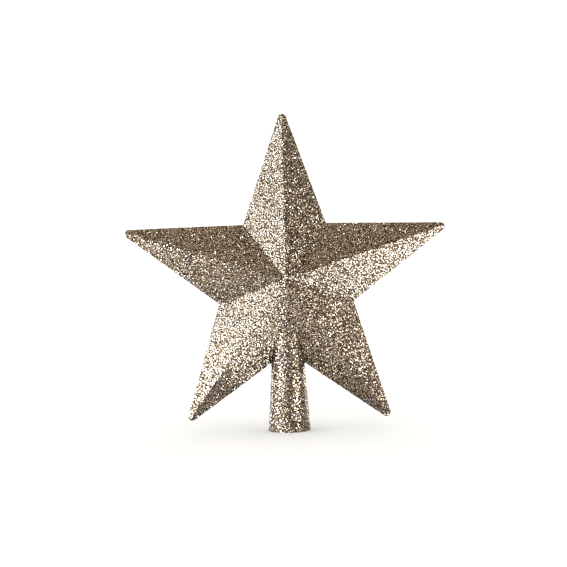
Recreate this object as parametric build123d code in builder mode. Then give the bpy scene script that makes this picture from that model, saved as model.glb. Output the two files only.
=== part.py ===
from build123d import *

import os
from math import asin, atan, cos, hypot, radians, sin, tan

# Christmas tree topper: a faceted five-point star on a tapered socket that slips over the tree's leader.
# Two plastic half shells meet on the star's middle plane with a lap joint and locating pins, a film of
# cement holds them together, and a coat of glitter in lacquer covers the outside.
# Millimetres. The origin is the middle of the socket's mouth, on the plane that the topper stands on.
# +Z runs up the socket and the star's front faces -Y.

# Star
arm_count = 5
tip_radius = 104.4  # star centre to the sharp corner of an arm
notch_radius = 41.6  # star centre to the corner between two arms
star_height = 89.3  # star centre above the mouth
half_depth = 21.5  # middle plane to the peak of the facets
edge_half_width = 1.2  # half of the flat band round the star's edge
tip_round = 2.0
wall = 1.5

# Socket
mouth_radius = 11.9  # outside, at the mouth
socket_taper = 3.4  # degrees between a side and the axis

# Lap joint on the middle plane
seam_band = 1.2  # straight band on the inside of each half, beside the seam
hollow_tip_round = 0.5
tongue_width = 0.8
tongue_height = 0.8
lap_clearance = 0.1  # beside the tongue
cement_film = 0.15  # between the tongue's end and the floor of its rebate
lap_start = 4.0  # the lap begins this far above the mouth

# Locating pins, one in each arm
pin_circle = 50.0  # radius, about the star's centre
boss_radius = 2.6
pin_radius = 1.25
pin_length = 2.6
pin_clearance = 0.1
pin_end_gap = 0.4
pin_chamfer = 0.35

# Coat
coat = 0.4

# Cuts run past the faces that they open by this much.
overrun = 1.0

half_turn = radians(180 / arm_count)
edge_length = hypot(tip_radius - notch_radius * cos(half_turn), notch_radius * sin(half_turn))
edge_distance = tip_radius * notch_radius * sin(half_turn) / edge_length  # centre to an edge's line
tip_half_angle = asin(notch_radius * sin(half_turn) / edge_length)
facet_slope = atan((half_depth - edge_half_width) / edge_distance)
socket_slope = tan(radians(socket_taper))
wall_depth = wall / cos(facet_slope)  # the wall measured square to the middle plane
socket_wall = wall / cos(radians(socket_taper))  # the wall measured square to the axis
seam_land = (wall_depth - edge_half_width + seam_band) / tan(facet_slope)  # width of the seam's faces
coat_depth = coat / cos(facet_slope)
socket_coat = coat / cos(radians(socket_taper))
rebate_width = tongue_width + lap_clearance
rebate_depth = tongue_height + cement_film

middle = Plane.XZ  # its normal points to the front, and its local Y runs up
star_centre = Vector(0, star_height)


def star_corners(growth):
    """The star's sharp corners about its centre, with each edge moved out by growth."""
    scale = 1 + growth / edge_distance
    return [
        Vector(0, scale * (notch_radius if step % 2 else tip_radius)).rotate(Axis.Z, step * 180 / arm_count)
        for step in range(2 * arm_count)
    ]


def sharp_outline(plane, growth):
    """The star's outline on a plane, with sharp tips."""
    with BuildSketch(plane) as outline:
        with Locations(star_centre):
            Polygon(*star_corners(growth), align=None)
    return outline.sketch


def star_outline(plane, growth, tip_fillet):
    """The star's outline on a plane, with rounded tips."""
    with BuildSketch(plane) as outline:
        add(sharp_outline(plane, growth))
        tips = outline.vertices().sort_by_distance(star_centre)[-arm_count:]
        fillet(tips, tip_fillet)
    return outline.sketch


def tip_corners(growth, tip_fillet):
    """What rounding takes off each tip, on the middle plane."""
    sharp_tip = tip_radius * (1 + growth / edge_distance)
    to_corner = tip_fillet / sin(tip_half_angle)  # from the round's centre
    to_round = tip_fillet * sin(tip_half_angle)  # from the round's centre to where the round begins
    with BuildSketch(middle) as corners:
        with Locations(star_centre):
            with PolarLocations(sharp_tip - to_corner, arm_count, start_angle=90):
                with Locations((to_round, 0)):
                    Rectangle(to_corner, 2 * to_corner, align=(Align.MIN, Align.CENTER))
                Circle(tip_fillet, mode=Mode.SUBTRACT)
    return corners.sketch


def star_body(growth, depth_growth, tip_fillet):
    """Both sides of the star: a band round the edge, then flat facets that rise to a peak on each side."""
    peak = half_depth + depth_growth
    band = peak - (edge_distance + growth) * tan(facet_slope)
    with BuildPart() as star:
        extrude(sharp_outline(middle, growth), amount=band)
        rim = sharp_outline(middle.offset(band), growth)
        loft([rim.face(), Vertex(0, -peak, star_height)], ruled=True)
        extrude(tip_corners(growth, tip_fillet), amount=peak, mode=Mode.SUBTRACT)
        mirror(about=middle)
    return star.part


def socket_profile(plane, growth, bottom):
    """Half of the socket's outline, from its axis to its side, up to the star's centre."""
    with BuildSketch(plane) as profile:
        Polygon(
            (0, bottom),
            (mouth_radius + growth - bottom * socket_slope, bottom),
            (mouth_radius + growth - star_height * socket_slope, star_height),
            (0, star_height),
            align=None,
        )
    return profile.sketch


def topper_body(growth, depth_growth, socket_growth, tip_fillet, bottom):
    """The star and its socket as one solid form."""
    with BuildPart() as body:
        add(star_body(growth, depth_growth, tip_fillet))
        revolve(socket_profile(middle, socket_growth, bottom), axis=Axis.Z)
    return body.part


def seam_section(plane, growth, bottom):
    """The hollow's outline at the seam, moved out by growth, from bottom upwards."""
    with BuildSketch(plane) as section:
        add(star_outline(plane, growth - seam_land, hollow_tip_round + growth))
        add(socket_profile(plane, growth - socket_wall, bottom))
        mirror(about=Plane.YZ)
    return section.sketch


def pin_circles(radius):
    """A circle on each locating pin's axis, on the middle plane."""
    with BuildSketch(middle) as circles:
        with Locations(star_centre):
            with PolarLocations(pin_circle, arm_count, start_angle=90):
                Circle(radius)
    return circles.sketch


outside = topper_body(0, 0, 0, tip_round, 0)
hollow = topper_body(-seam_land, -wall_depth, -socket_wall, hollow_tip_round, -overrun)
coated = topper_body(coat, coat_depth, socket_coat, tip_round + coat, 0)

# A boss for each pin, from the seam to the outer face of the front.
with BuildPart() as bosses:
    extrude(pin_circles(boss_radius), amount=half_depth)
    add(outside, mode=Mode.INTERSECT)

with BuildPart() as pins:
    extrude(pin_circles(pin_radius), amount=-pin_length)
    chamfer(pins.edges().group_by(Axis.Y)[-1], pin_chamfer)

with BuildPart() as front_half_shell:
    add(outside)
    split(bisect_by=middle, keep=Keep.TOP)
    extrude(seam_section(middle, tongue_width, lap_start), amount=-tongue_height)
    add(hollow, mode=Mode.SUBTRACT)
    add(bosses.part)
    add(pins.part)

with BuildPart() as rear_half_shell:
    add(outside)
    split(bisect_by=middle, keep=Keep.BOTTOM)
    rebate = seam_section(middle, rebate_width, lap_start - lap_clearance)
    extrude(rebate, amount=-rebate_depth, mode=Mode.SUBTRACT)
    add(hollow, mode=Mode.SUBTRACT)
    mirror(bosses.part, about=middle)
    holes = pin_circles(pin_radius + pin_clearance)
    extrude(holes, amount=-(pin_length + pin_end_gap), mode=Mode.SUBTRACT)

with BuildPart() as seam_cement:
    extrude(seam_section(middle.offset(-tongue_height), tongue_width, lap_start), amount=-cement_film)
    add(hollow, mode=Mode.SUBTRACT)

with BuildPart() as glitter_coat:
    add(coated)
    add(outside, mode=Mode.SUBTRACT)

os.makedirs("parts", exist_ok=True)

front_half_shell.part.label = "front_half_shell"
export_step(front_half_shell.part, "parts/front_half_shell.step")

rear_half_shell.part.label = "rear_half_shell"
export_step(rear_half_shell.part, "parts/rear_half_shell.step")

seam_cement.part.label = "seam_cement"
export_step(seam_cement.part, "parts/seam_cement.step")

glitter_coat.part.label = "glitter_coat"
export_step(glitter_coat.part, "parts/glitter_coat.step")
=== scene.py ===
"""Looks for a Christmas tree topper: a faceted star on a tapered socket, covered in champagne glitter.

The solids stay as they are. Small metallic flakes, each a closed six-sided tablet, are set in the lacquer
of the coat. Metres, in the frame of the solids: +Z is up and the front faces -Y.
"""

import math

import bpy
import numpy as np
from mathutils import Matrix, Vector, kdtree
from mathutils.bvhtree import BVHTree


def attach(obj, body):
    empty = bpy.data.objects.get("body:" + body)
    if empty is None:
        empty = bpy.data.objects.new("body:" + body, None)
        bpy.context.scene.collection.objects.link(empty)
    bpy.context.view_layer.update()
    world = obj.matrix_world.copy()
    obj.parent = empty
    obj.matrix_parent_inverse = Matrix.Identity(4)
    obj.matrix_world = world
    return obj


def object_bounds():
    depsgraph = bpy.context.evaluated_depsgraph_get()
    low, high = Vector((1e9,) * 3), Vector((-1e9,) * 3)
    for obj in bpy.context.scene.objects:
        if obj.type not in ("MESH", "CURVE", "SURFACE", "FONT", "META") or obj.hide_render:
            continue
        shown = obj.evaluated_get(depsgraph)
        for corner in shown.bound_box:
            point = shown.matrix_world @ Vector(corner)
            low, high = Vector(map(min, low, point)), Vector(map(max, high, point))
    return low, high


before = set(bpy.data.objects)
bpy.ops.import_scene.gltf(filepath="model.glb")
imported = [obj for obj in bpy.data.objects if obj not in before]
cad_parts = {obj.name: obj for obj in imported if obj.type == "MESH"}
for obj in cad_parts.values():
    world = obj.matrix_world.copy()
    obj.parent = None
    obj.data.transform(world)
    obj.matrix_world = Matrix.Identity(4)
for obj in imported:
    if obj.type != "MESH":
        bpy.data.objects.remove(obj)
cad_low, cad_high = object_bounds()

mm = 0.001

# Shape and lie of the glitter flakes
flake_seed = 11
flake_tries = 8.2 / mm**2  # scattered points on each unit of area, before they are thinned out
flake_spacing = 0.545 * mm  # least distance between the middles of two flakes
flake_radius = (0.285 * mm, 0.39 * mm)  # middle to corner, least and most
flake_lift = (0.03 * mm, 0.11 * mm)  # top face above the lacquer, least and most
flake_root = 0.26 * mm  # depth of the tablet's point below its top face
flake_sides = 6
flake_corner_count = flake_sides + 1  # those of the top face, and the point
lie_spread = 0.10  # slope of a flake that lies flat in the lacquer, one standard deviation
loose_spread = 0.42  # the same for a flake that stands askew
loose_share = 0.43  # of the flakes, those that stand askew
neighbour_reach = 1.0 * mm  # flakes nearer than this differ in tone and lean
outside_gap = 0.3 * mm  # faces of the coat nearer to the shells than this are its inside
rim_height = 0.3 * mm  # corners of the coat below this are on the rim of the socket's mouth
socket_top = 62 * mm  # where the socket runs into the star
map_fill_share = 0.72  # of a cell of the colour map, the width that its flake takes up

tone_name = "tone"
arm_names = ("top", "right", "low_right", "low_left", "left")  # clockwise, seen from the front

# Glitter colours, from the darkest to the palest
# The darkest colour is for the bed alone, and is partly painted shade in the gaps between the flakes
gap_shade_bronze = (0.010, 0.0062, 0.0034, 1)
bronze = (0.021, 0.0115, 0.0055, 1)
dark_champagne = (0.100, 0.0615, 0.032, 1)
champagne = (0.28, 0.21, 0.143, 1)
pale_gold = (0.46, 0.385, 0.30, 1)
cream = (0.665, 0.60, 0.51, 1)
white_gold = (0.875, 0.82, 0.73, 1)

# Finish of the flakes
flake_stops = (  # tone, and its colour
    (0, bronze),
    (0.17, dark_champagne),
    (0.4, champagne),
    (0.72, pale_gold),
    (0.92, cream),
    (1, white_gold),
)
flake_roughness = (0.08, 0.25)  # least and most
flake_coat = 0.15  # weight of the clear lacquer over a flake
flake_coat_roughness = 0.08

# Finish of the bed between the flakes: its dark colour is partly the lacquer's own and partly painted
# shade in the gaps between the flakes
bed_and_gap_shade_stops = ((0, gap_shade_bronze), (0.6, bronze), (1, dark_champagne))
bed_metal_share = 0.85
bed_roughness = (0.3, 0.5)
speck_scale = 2200  # specks of dust a metre
speck_lean = 0.35  # most that a speck's normal leans along an axis

# Finish of the moulded plastic
plastic_stops = ((0.3, (0.46, 0.36, 0.245, 1)), (0.7, (0.56, 0.45, 0.315, 1)))
plastic_roughness = (0.38, 0.58)
flow_scale = 55  # features a metre
flow_detail = 3
grain_scale = 2600
grain_detail = 2
grain_depth = 0.05 * mm
grain_strength = 0.4

# Finish of the dried cement
cement_stops = ((0.3, (0.60, 0.50, 0.34, 1)), (0.7, (0.74, 0.66, 0.50, 1)))
cement_roughness = (0.15, 0.35)
cement_scale = 240
cement_detail = 3

# Camera
camera_place = Vector((-1.9 * mm, -560 * mm, 65.8 * mm))
camera_yaw = math.radians(-0.04)
camera_pitch = math.radians(2.24)
camera_roll = math.radians(-1.44)
camera_lens = 59.28  # millimetres, on a sensor 36 mm wide

# Studio
room_radius = 1.6  # to the wall
room_bend = 0.5  # radius of the curve from the floor up to the wall
room_height = 1.5
room_steps = 96  # corners round the room
bend_steps = 12  # corners up the curve
floor_white = (0.645, 0.715, 0.813, 1)  # cool, so that the warm sky shows it neutral
floor_glow = 0.2
wall_white = (0.58, 0.62, 0.676, 1)
wall_glow = 0.65
glow_reach = (0.2, 1.0)  # Y where the paper's glow begins, and where it is whole
sky_colour = (1.20, 1.04, 0.85, 1)

# Lamps that light the topper alone
cool = (0.91, 1, 1.08)
warm = (1.06, 1, 0.94)
wide = 180  # spread of a lamp's light, in degrees
narrow = 90
lamps = (  # name, place, point that it is aimed at, width and height, spread, watts, colour
    ("left_lamp", (-0.67, -0.44, 0.36), (0, 0, 0.36), (1.5, 0.84), wide, 17.8, cool),
    ("left_strip", (-0.235, -0.135, 0.043), (0, 0, 0.043), (0.12, 0.08), wide, 0.36, cool),
    ("left_panel", (-0.305, -0.095, 0.003), (-0.305, -0.095, 1), (0.44, 0.035), wide, 0.12, warm),
    ("near_left_panel", (0, -0.045, 0.024), (0.6, 0.405, 0.684), (0.04, 0.06), narrow, 0.0023, warm),
    ("right_lamp", (0.70, -0.30, 0.34), (0, 0, 0.34), (0.27, 0.24), wide, 0.86, warm),
    ("right_strip", (0.205, -0.19, 0.043), (0, 0, 0.043), (0.12, 0.08), wide, 0.34, warm),
    ("right_panel", (0.31, -0.13, 0.003), (0.31, -0.13, 1), (0.44, 0.20), wide, 1.48, cool),
    ("near_right_panel", (0, -0.045, 0.024), (-0.6, 0.405, 0.684), (0.04, 0.06), narrow, 0.012, cool),
)
rear_share = 0.45  # of a front lamp's strength, for its twin behind

# Lamps that light the floor alone
floor_lamp_count = 8
floor_lamp_place = (1.0, 0, 0.26)  # of the first
floor_lamp_size = (0.7, 0.25)
floor_lamp_watts = 4.05
floor_lamp_colour = (1.15, 1, 0.845)


def new_material(name):
    """A material with nodes, with its tree and its shader."""
    material = bpy.data.materials.new(name)
    material.use_nodes = True
    tree = material.node_tree
    return material, tree, tree.nodes["Principled BSDF"]


def colour_ramp(tree, factor, stops):
    """A colour ramp driven by factor. Each stop is a place from 0 to 1 and a colour."""
    ramp = tree.nodes.new("ShaderNodeValToRGB")
    elements = ramp.color_ramp.elements
    elements[0].position, elements[0].color = stops[0]
    elements[1].position, elements[1].color = stops[-1]
    for position, colour in stops[1:-1]:
        elements.new(position).color = colour
    tree.links.new(factor, ramp.inputs["Fac"])
    return ramp.outputs["Color"]


def spread_over(tree, value, limits):
    """A value from 0 to 1 spread over the range between two limits."""
    spread = tree.nodes.new("ShaderNodeMapRange")
    spread.inputs["To Min"].default_value, spread.inputs["To Max"].default_value = limits
    tree.links.new(value, spread.inputs["Value"])
    return spread.outputs["Result"]


def object_point(tree):
    """The point on the piece, in metres."""
    return tree.nodes.new("ShaderNodeTexCoord").outputs["Object"]


def noise(tree, scale, detail):
    """Cloudy noise, with scale in features a metre."""
    cloud = tree.nodes.new("ShaderNodeTexNoise")
    cloud.inputs["Scale"].default_value = scale
    cloud.inputs["Detail"].default_value = detail
    tree.links.new(object_point(tree), cloud.inputs["Vector"])
    return cloud.outputs["Fac"]


def bumped(tree, height, distance, strength):
    """A normal bent by a height from 0 to 1, distance deep."""
    bump = tree.nodes.new("ShaderNodeBump")
    bump.inputs["Distance"].default_value = distance
    bump.inputs["Strength"].default_value = strength
    tree.links.new(height, bump.inputs["Height"])
    return bump.outputs["Normal"]


def flake_material():
    """Metallic flakes: each has a colour and a polish of its own."""
    material, tree, shader = new_material("glitter_flake")
    shader.inputs["Metallic"].default_value = 1
    shader.inputs["Coat Weight"].default_value = flake_coat
    shader.inputs["Coat Roughness"].default_value = flake_coat_roughness
    tone = tree.nodes.new("ShaderNodeAttribute")
    tone.attribute_name = tone_name
    tree.links.new(colour_ramp(tree, tone.outputs["Fac"], flake_stops), shader.inputs["Base Color"])
    chance = tree.nodes.new("ShaderNodeNewGeometry").outputs["Random Per Island"]
    polish = tree.nodes.new("ShaderNodeTexWhiteNoise")
    polish.noise_dimensions = "1D"
    tree.links.new(chance, polish.inputs["W"])
    tree.links.new(spread_over(tree, polish.outputs["Value"], flake_roughness), shader.inputs["Roughness"])
    return material


def leaning_normal(tree, chance):
    """The surface normal, leaning along each axis by a chance from 0 to 1."""
    lean = tree.nodes.new("ShaderNodeVectorMath")
    lean.operation = "MULTIPLY_ADD"
    lean.inputs[1].default_value = (2 * speck_lean, 2 * speck_lean, 2 * speck_lean)
    lean.inputs[2].default_value = (-speck_lean, -speck_lean, -speck_lean)
    tree.links.new(chance, lean.inputs[0])
    leaning = tree.nodes.new("ShaderNodeVectorMath")
    leaning.operation = "ADD"
    tree.links.new(tree.nodes.new("ShaderNodeNewGeometry").outputs["Normal"], leaning.inputs[0])
    tree.links.new(lean.outputs["Vector"], leaning.inputs[1])
    normal = tree.nodes.new("ShaderNodeVectorMath")
    normal.operation = "NORMALIZE"
    tree.links.new(leaning.outputs["Vector"], normal.inputs[0])
    return normal.outputs["Vector"]


def bed_and_gap_shade_material():
    """The bed between the flakes: lacquer full of finer glitter dust, each speck leaning its own way. Its
    very dark colour is partly the lacquer's own and partly painted shade in the gaps between the flakes.
    """
    material, tree, shader = new_material("glitter_bed_and_gap_shade")
    shader.inputs["Metallic"].default_value = bed_metal_share
    specks = tree.nodes.new("ShaderNodeTexVoronoi")
    specks.inputs["Scale"].default_value = speck_scale
    tree.links.new(object_point(tree), specks.inputs["Vector"])
    parts = tree.nodes.new("ShaderNodeSeparateColor")
    tree.links.new(specks.outputs["Color"], parts.inputs["Color"])
    tree.links.new(colour_ramp(tree, parts.outputs["Red"], bed_and_gap_shade_stops), shader.inputs["Base Color"])
    tree.links.new(spread_over(tree, parts.outputs["Green"], bed_roughness), shader.inputs["Roughness"])
    tree.links.new(leaning_normal(tree, specks.outputs["Color"]), shader.inputs["Normal"])
    return material


def plastic_material():
    """Moulded plastic, champagne coloured through, with a faint flow pattern and a fine satin grain."""
    material, tree, shader = new_material("moulded_plastic")
    flow = noise(tree, flow_scale, flow_detail)
    tree.links.new(colour_ramp(tree, flow, plastic_stops), shader.inputs["Base Color"])
    grain = noise(tree, grain_scale, grain_detail)
    tree.links.new(spread_over(tree, grain, plastic_roughness), shader.inputs["Roughness"])
    tree.links.new(bumped(tree, grain, grain_depth, grain_strength), shader.inputs["Normal"])
    return material


def cement_material():
    """Dried clear cement, a little uneven in tint and gloss."""
    material, tree, shader = new_material("dried_cement")
    cloud = noise(tree, cement_scale, cement_detail)
    tree.links.new(colour_ramp(tree, cloud, cement_stops), shader.inputs["Base Color"])
    tree.links.new(spread_over(tree, cloud, cement_roughness), shader.inputs["Roughness"])
    return material


def larger(tree, first, second):
    """The larger of two values."""
    choice = tree.nodes.new("ShaderNodeMath")
    choice.operation = "MAXIMUM"
    tree.links.new(first, choice.inputs[0])
    tree.links.new(second, choice.inputs[1])
    return choice.outputs["Value"]


def paper_glow(tree, glow):
    """A glow for the camera and reflections alone, which grows along Y to its whole strength."""
    path = tree.nodes.new("ShaderNodeLightPath").outputs
    mirrored = larger(tree, path["Is Glossy Ray"], path["Is Transmission Ray"])
    shown = larger(tree, path["Is Camera Ray"], mirrored)
    place = tree.nodes.new("ShaderNodeSeparateXYZ")
    tree.links.new(object_point(tree), place.inputs["Vector"])
    depth = tree.nodes.new("ShaderNodeMapRange")
    depth.inputs["From Min"].default_value, depth.inputs["From Max"].default_value = glow_reach
    depth.inputs["To Max"].default_value = glow
    tree.links.new(place.outputs["Y"], depth.inputs["Value"])
    level = tree.nodes.new("ShaderNodeMath")
    level.operation = "MULTIPLY"
    tree.links.new(depth.outputs["Result"], level.inputs[0])
    tree.links.new(shown, level.inputs[1])
    light = tree.nodes.new("ShaderNodeEmission")
    tree.links.new(level.outputs["Value"], light.inputs["Strength"])
    return light.outputs["Emission"]


def paper_material(name, white, glow):
    """White paper that shows white to the camera and in reflections, and still takes shadows."""
    material, tree, shader = new_material(name)
    tree.nodes.remove(shader)
    paper = tree.nodes.new("ShaderNodeBsdfDiffuse")
    paper.inputs["Color"].default_value = white
    both = tree.nodes.new("ShaderNodeAddShader")
    tree.links.new(paper.outputs["BSDF"], both.inputs[0])
    tree.links.new(paper_glow(tree, glow), both.inputs[1])
    tree.links.new(both.outputs["Shader"], tree.nodes["Material Output"].inputs["Surface"])
    return material


def dress(node, material):
    """Gives a solid its material."""
    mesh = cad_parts[node].data
    mesh.materials.clear()
    mesh.materials.append(material)


def surface_tree(mesh):
    """A search tree over a mesh's faces."""
    corners = [vertex.co for vertex in mesh.vertices]
    faces = [face.vertices for face in mesh.polygons]
    return BVHTree.FromPolygons(corners, faces)


def gap_to(tree, point):
    """The distance from a point to the faces in a search tree."""
    _, _, _, gap = tree.find_nearest(point)
    return gap


def outer_triangles(coat, shells):
    """The corners of the triangles on the outside of the coat."""
    trees = [surface_tree(shell) for shell in shells]
    coat.calc_loop_triangles()
    outer = []
    for triangle in coat.loop_triangles:
        corners = [coat.vertices[index].co for index in triangle.vertices]
        middle = sum(corners, Vector()) / len(corners)
        if min(gap_to(tree, middle) for tree in trees) > outside_gap:
            outer.append(corners)
    return np.array(outer)


def scattered(triangles, chance):
    """Points spread at random over triangles, and the triangle's normal at each."""
    first = triangles[:, 0]
    side_a = triangles[:, 1] - first
    side_b = triangles[:, 2] - first
    normals = np.cross(side_a, side_b)
    doubled_areas = np.linalg.norm(normals, axis=1)
    normals /= doubled_areas[:, None]
    count = int(doubled_areas.sum() / 2 * flake_tries)
    chosen = chance.choice(len(triangles), count, p=doubled_areas / doubled_areas.sum())
    along = chance.random((count, 2))
    outside = along.sum(axis=1) > 1
    along[outside] = 1 - along[outside]
    points = first[chosen] + along[:, :1] * side_a[chosen] + along[:, 1:] * side_b[chosen]
    return points, normals[chosen]


def point_tree(points):
    """A search tree over points."""
    tree = kdtree.KDTree(len(points))
    for index, point in enumerate(points):
        tree.insert(point, index)
    tree.balance()
    return tree


def thinned(points):
    """The places in the list of points that keep flake_spacing from each other."""
    tree = point_tree(points)
    free = np.ones(len(points), bool)
    kept = []
    for index, point in enumerate(points):
        if free[index]:
            kept.append(index)
            for _, near, _ in tree.find_range(point, flake_spacing):
                free[near] = False
    return kept


def set_off(values, neighbours):
    """Random values made to differ from those close by, with the same spread."""
    around = np.array([values[near].mean(axis=0) for near in neighbours])
    apart = values - around
    return apart * values.std() / apart.std()


def evened(values, neighbours):
    """Random values made to differ from those close by, evenly spread from 0 to 1."""
    return set_off(values, neighbours).argsort().argsort() / len(values)


def unit(vectors):
    """Vectors brought to a length of 1."""
    return vectors / np.linalg.norm(vectors, axis=1, keepdims=True)


def flake_corners(points, normals, lean, loose, chance):
    """The corners of each flake: its top face, then its point in the lacquer."""
    count = len(points)
    slope = np.where(loose, loose_spread, lie_spread)
    up = unit(normals + slope[:, None] * lean)
    across = unit(np.cross(up, chance.normal(size=(count, 3))))
    along = np.cross(up, across)
    radius = chance.uniform(*flake_radius, size=(count, 1))
    middle = points + chance.uniform(*flake_lift, size=(count, 1)) * normals
    corners = []
    for side in range(flake_sides):
        turn = math.tau * side / flake_sides
        corners.append(middle + radius * (math.cos(turn) * across + math.sin(turn) * along))
    corners.append(middle - flake_root * normals)
    return np.clip(np.stack(corners, axis=1), cad_low, cad_high)


def flake_map(count):
    """The colour map of count flakes, a cell for each, in the order of the mesh's face corners."""
    columns = math.ceil(math.sqrt(count))
    flake = np.arange(count)
    middle = np.stack((flake % columns, flake // columns), axis=1) + 0.5
    turns = math.tau * np.arange(flake_sides) / flake_sides
    rim = map_fill_share / 2 * np.stack((np.cos(turns), np.sin(turns)), axis=1)
    top = middle[:, None] + rim
    root = np.broadcast_to(middle[:, None], top.shape)
    sides = np.stack((np.roll(top, -1, axis=1), top, root), axis=2)
    return np.concatenate((top.ravel(), sides.ravel())) / columns


def flake_piece(name, corners, tones, material):
    """One piece of many flakes."""
    count = len(corners)
    starts = flake_corner_count * np.arange(count)[:, None]
    tops = starts + np.arange(flake_sides)
    roots = np.broadcast_to(starts + flake_sides, tops.shape)
    sides = np.stack((np.roll(tops, -1, axis=1), tops, roots), axis=2).reshape(-1, 3)
    mesh = bpy.data.meshes.new(name)
    mesh.from_pydata(corners.reshape(-1, 3).tolist(), [], tops.tolist() + sides.tolist())
    mesh.uv_layers.new(name="OFBake").data.foreach_set("uv", flake_map(count))
    tone = mesh.attributes.new(tone_name, "FLOAT", "POINT")
    tone.data.foreach_set("value", tones.repeat(flake_corner_count))
    mesh.materials.append(material)
    piece = bpy.data.objects.new(name, mesh)
    bpy.context.scene.collection.objects.link(piece)
    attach(piece, "root")
    return piece


def flake_groups(points, coat):
    """The name of the part of the topper that each point is on."""
    corners = [vertex.co for vertex in coat.vertices]
    peak = min(corners, key=lambda corner: corner.y)
    mouth_radius = max(corner.x for corner in corners if corner.z < rim_height)
    turn = np.arctan2(points[:, 0], points[:, 2] - peak.z)
    arms = np.round(turn / math.tau * len(arm_names)).astype(int) % len(arm_names)
    on_socket = (np.hypot(points[:, 0], points[:, 1]) < mouth_radius) & (points[:, 2] < socket_top)
    sides = np.where(points[:, 1] < 0, "front", "rear")
    on_arms = np.char.add(np.char.add(np.array(arm_names)[arms], "_"), sides)
    return np.where(on_socket, np.char.add("socket_", sides), on_arms)


def add_flakes():
    """Sets flakes in the outside of the coat, in one piece for each side of each arm and of the socket."""
    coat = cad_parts["glitter_coat"].data
    shells = [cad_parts[name].data for name in ("front_half_shell", "rear_half_shell")]
    chance = np.random.default_rng(flake_seed)
    points, normals = scattered(outer_triangles(coat, shells), chance)
    kept = thinned(points)
    points = points[kept]
    tree = point_tree(points)
    neighbours = [[near for _, near, _ in tree.find_range(point, neighbour_reach)] for point in points]
    lean = set_off(chance.normal(size=points.shape), neighbours)
    tones = evened(chance.random(len(points)), neighbours)
    loose = evened(chance.random(len(points)), neighbours) < loose_share
    corners = flake_corners(points, normals[kept], lean, loose, chance)
    groups = flake_groups(points, coat)
    material = flake_material()
    pieces = []
    for name in np.unique(groups):
        here = groups == name
        pieces.append(flake_piece("glitter_flakes_" + str(name), corners[here], tones[here], material))
    return pieces


def ring(radius, height):
    """Points round the Z axis."""
    turns = [math.tau * step / room_steps for step in range(room_steps)]
    return [(radius * math.cos(turn), radius * math.sin(turn), height) for turn in turns]


def paper_sheet(name, corners, faces, material):
    """A sheet of the studio's paper, which isn't part of the topper."""
    mesh = bpy.data.meshes.new(name)
    mesh.from_pydata(corners, [], faces, shade_flat=False)
    mesh.materials.append(material)
    sheet = bpy.data.objects.new(name, mesh)
    bpy.context.scene.collection.objects.link(sheet)
    return sheet


def add_floor():
    """A round white floor."""
    paper = paper_material("floor_paper", floor_white, floor_glow)
    return paper_sheet("studio_floor", ring(room_radius - room_bend, 0), [range(room_steps)], paper)


def add_wall():
    """A white wall that bends up from the floor all round."""
    corners = []
    for step in range(bend_steps + 1):
        turn = math.pi / 2 * step / bend_steps
        corners += ring(room_radius - room_bend * (1 - math.sin(turn)), room_bend * (1 - math.cos(turn)))
    corners += ring(room_radius, room_height)
    faces = []
    for low in range(0, len(corners) - room_steps, room_steps):
        high = low + room_steps
        for step in range(room_steps):
            after = (step + 1) % room_steps
            faces.append((low + step, high + step, high + after, low + after))
    paper_sheet("studio_wall", corners, faces, paper_material("wall_paper", wall_white, wall_glow))


def add_lamp(name, place, aim, size, spread, watts, colour, receivers):
    """A soft lamp that lights one group of pieces alone."""
    data = bpy.data.lights.new(name, "AREA")
    data.shape = "RECTANGLE"
    data.size, data.size_y = size
    data.spread = math.radians(spread)
    data.energy = watts
    data.color = colour
    lamp = bpy.data.objects.new(name, data)
    lamp.location = place
    lamp.rotation_mode = "QUATERNION"
    lamp.rotation_quaternion = (Vector(aim) - Vector(place)).to_track_quat("-Z", "Y")
    lamp.visible_camera = False
    lamp.light_linking.receiver_collection = receivers
    bpy.context.scene.collection.objects.link(lamp)


def group_of(name, pieces):
    """A group of pieces, for lamps that light nothing else."""
    group = bpy.data.collections.new(name)
    for piece in pieces:
        group.objects.link(piece)
    return group


def behind(point):
    """The mirror image of a point in front of the topper."""
    x, y, z = point
    return x, -y, z


def light_topper(pieces):
    """Soft lamps to the sides and low in front, each with a weaker twin behind."""
    topper = group_of("topper", pieces)
    for name, place, aim, size, spread, watts, colour in lamps:
        add_lamp("front_" + name, place, aim, size, spread, watts, colour, topper)
        rear_watts = rear_share * watts
        add_lamp("rear_" + name, behind(place), behind(aim), size, spread, rear_watts, colour, topper)


def light_floor(floor):
    """Low lamps all round, so that the shadow gathers at the foot of the socket."""
    receivers = group_of("floor", [floor])
    foot = (0, 0, 0)
    for step in range(floor_lamp_count):
        name = "floor_lamp_" + str(step)
        place = Matrix.Rotation(math.tau * step / floor_lamp_count, 3, "Z") @ Vector(floor_lamp_place)
        add_lamp(name, place, foot, floor_lamp_size, wide, floor_lamp_watts, floor_lamp_colour, receivers)


def add_sky():
    """An even sky."""
    world = bpy.data.worlds.new("studio_sky")
    world.use_nodes = True
    world.node_tree.nodes["Background"].inputs["Color"].default_value = sky_colour
    bpy.context.scene.world = world


def add_camera():
    """A camera in front of the topper, at the photograph's angle."""
    data = bpy.data.cameras.new("camera")
    data.lens = camera_lens
    camera = bpy.data.objects.new("camera", data)
    turn = Matrix.Rotation(camera_yaw, 4, "Z") @ Matrix.Rotation(math.pi / 2 + camera_pitch, 4, "X")
    camera.matrix_world = Matrix.Translation(camera_place) @ turn @ Matrix.Rotation(camera_roll, 4, "Z")
    bpy.context.scene.collection.objects.link(camera)
    bpy.context.scene.camera = camera


plastic = plastic_material()
dress("front_half_shell", plastic)
dress("rear_half_shell", plastic)
dress("seam_cement", cement_material())
dress("glitter_coat", bed_and_gap_shade_material())
flakes = add_flakes()
light_topper(list(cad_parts.values()) + flakes)
light_floor(add_floor())
add_wall()
add_sky()
add_camera()
bpy.context.scene.view_settings.view_transform = "Standard"
